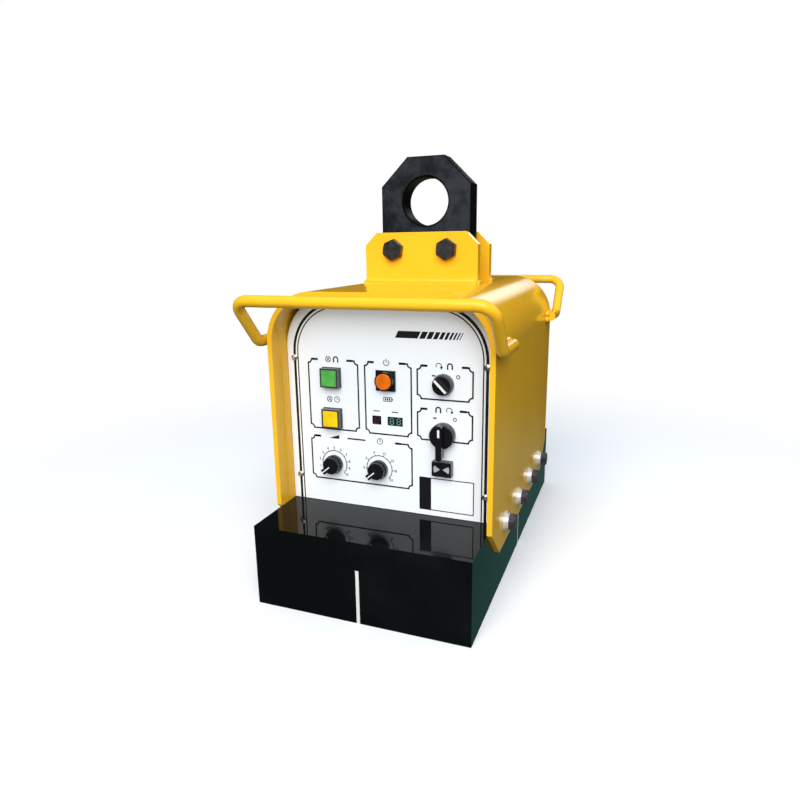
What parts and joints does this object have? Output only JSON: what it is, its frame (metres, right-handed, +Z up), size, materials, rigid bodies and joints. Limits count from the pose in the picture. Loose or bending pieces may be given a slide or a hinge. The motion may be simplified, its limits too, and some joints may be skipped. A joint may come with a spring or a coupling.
{
  "type": "battery lifting electromagnet",
  "caption": "Rectangular lifting electromagnet: magnet block under a bent yellow cover with batteries, control panel, carrying handles and a bolted lifting eye.",
  "frame": {"origin": "on the floor below the middle of the magnet block, in the plane of the pole faces", "axes": "+Z up through the lifting eye, +Y from the control panel to the rear, +X to the right as seen from the control panel"},
  "size_m": [0.301, 0.508, 0.522],
  "materials": {
    "black_steel": "glossy black enamel on a machined mild steel block",
    "separator_brass": "machined non-magnetic brass strips, dull",
    "winding": "varnished and potted copper winding",
    "stainless": "ground non-magnetic stainless plate",
    "grommet_rubber": "black rubber",
    "lead_cable": "red rubber-sheathed lead",
    "yellow_paint": "glossy yellow enamel",
    "eye_steel": "heat-treated dark steel, mottled blue-grey",
    "zinc": "bright zinc plating",
    "zinc_sheet": "zinc-plated sheet steel",
    "dark_bolt": "oil-blackened high-strength steel",
    "panel_white": "satin off-white powder coat with printed lines",
    "lamp_frame": "dark grey moulded plastic",
    "green_lens": "translucent green moulding",
    "yellow_lens": "translucent yellow moulding",
    "black_plastic": "black moulded plastic",
    "orange_button": "translucent orange button",
    "red_window": "dark red filter window",
    "green_window": "dark green filter window",
    "grey_bezel": "grey moulded bezel",
    "pot_metal": "tinned steel can and bushing",
    "pot_shaft": "nickelled brass shaft",
    "battery_case": "sealed lead-acid battery in an ABS case",
    "circuit_board": "glass-fibre circuit board with its parts",
    "terminal_plastic": "cream moulded terminal strip",
    "charger_case": "anodised aluminium case"
  },
  "bodies": {
    "magnet": {"magnet_body": "black_steel", "pole_separator": "separator_brass", "coil_front_left": "winding", "coil_front_right": "winding", "coil_rear_left": "winding", "coil_rear_right": "winding", "groove_plates": "stainless", "lead_grommets": "grommet_rubber", "coil_leads": "lead_cable", "cover": "yellow_paint", "handle_front": "yellow_paint", "handle_rear": "yellow_paint", "hanger_plate_front": "yellow_paint", "hanger_plate_rear": "yellow_paint", "eye_plate": "eye_steel", "hanger_spacers": "zinc", "hanger_bolts": "dark_bolt", "hanger_washers": "zinc", "hanger_nuts": "dark_bolt", "side_bolts": "dark_bolt", "side_washers": "zinc", "side_spring_washers": "zinc", "front_panel": "panel_white", "rear_panel": "panel_white", "panel_lugs": "yellow_paint", "panel_screws": "zinc", "green_lamp_body": "lamp_frame", "green_lamp_lens": "green_lens", "yellow_lamp_body": "lamp_frame", "yellow_lamp_lens": "yellow_lens", "power_switch": "black_plastic", "voltage_meter": "black_plastic", "stop_window": "red_window", "normal_window": "green_window", "mode_switch": "grey_bezel", "lever_switch": "black_plastic", "lever_catch": "black_plastic", "switch_ring_nuts": "zinc", "level_pot": "pot_metal", "time_pot": "pot_metal", "battery_front": "battery_case", "battery_rear": "battery_case", "battery_tray": "zinc_sheet", "clamp_bar": "zinc_sheet", "clamp_rods": "zinc", "chassis_plate": "zinc_sheet", "floor_screws": "dark_bolt", "control_board": "circuit_board", "contactors": "black_plastic", "terminal_strip": "terminal_plastic", "terminal_screws": "zinc", "charger": "charger_case", "charging_socket": "black_plastic"},
    "power_button": {"power_button": "orange_button"},
    "mode_knob": {"mode_knob": "black_plastic"},
    "lever": {"lever_handle": "black_plastic"},
    "level_dial": {"level_knob": "black_plastic", "level_shaft": "pot_shaft"},
    "time_dial": {"time_knob": "black_plastic", "time_shaft": "pot_shaft"}
  },
  "joints": [
    {"name": "power_press", "type": "slide", "parent": "magnet", "child": "power_button", "axis": [0, 1, 0], "range_m": [0, 0.003], "stiffness_N_per_m": 900, "springref_m": -0.002},
    {"name": "mode_turn", "type": "hinge", "parent": "magnet", "child": "mode_knob", "pos_m": [0.0698, -0.159, 0.2594], "axis": [0, 1, 0], "range_deg": [0, 90]},
    {"name": "lever_turn", "type": "hinge", "parent": "magnet", "child": "lever", "pos_m": [0.0698, -0.159, 0.2005], "axis": [0, 1, 0], "range_deg": [-45, 45], "stiffness_Nm_per_rad": 0.25},
    {"name": "level_turn", "type": "hinge", "parent": "magnet", "child": "level_dial", "pos_m": [-0.071, -0.159, 0.15], "axis": [0, 1, 0], "range_deg": [0, 260]},
    {"name": "time_turn", "type": "hinge", "parent": "magnet", "child": "time_dial", "pos_m": [-0.011, -0.159, 0.15], "axis": [0, 1, 0], "range_deg": [0, 260]}
  ]
}
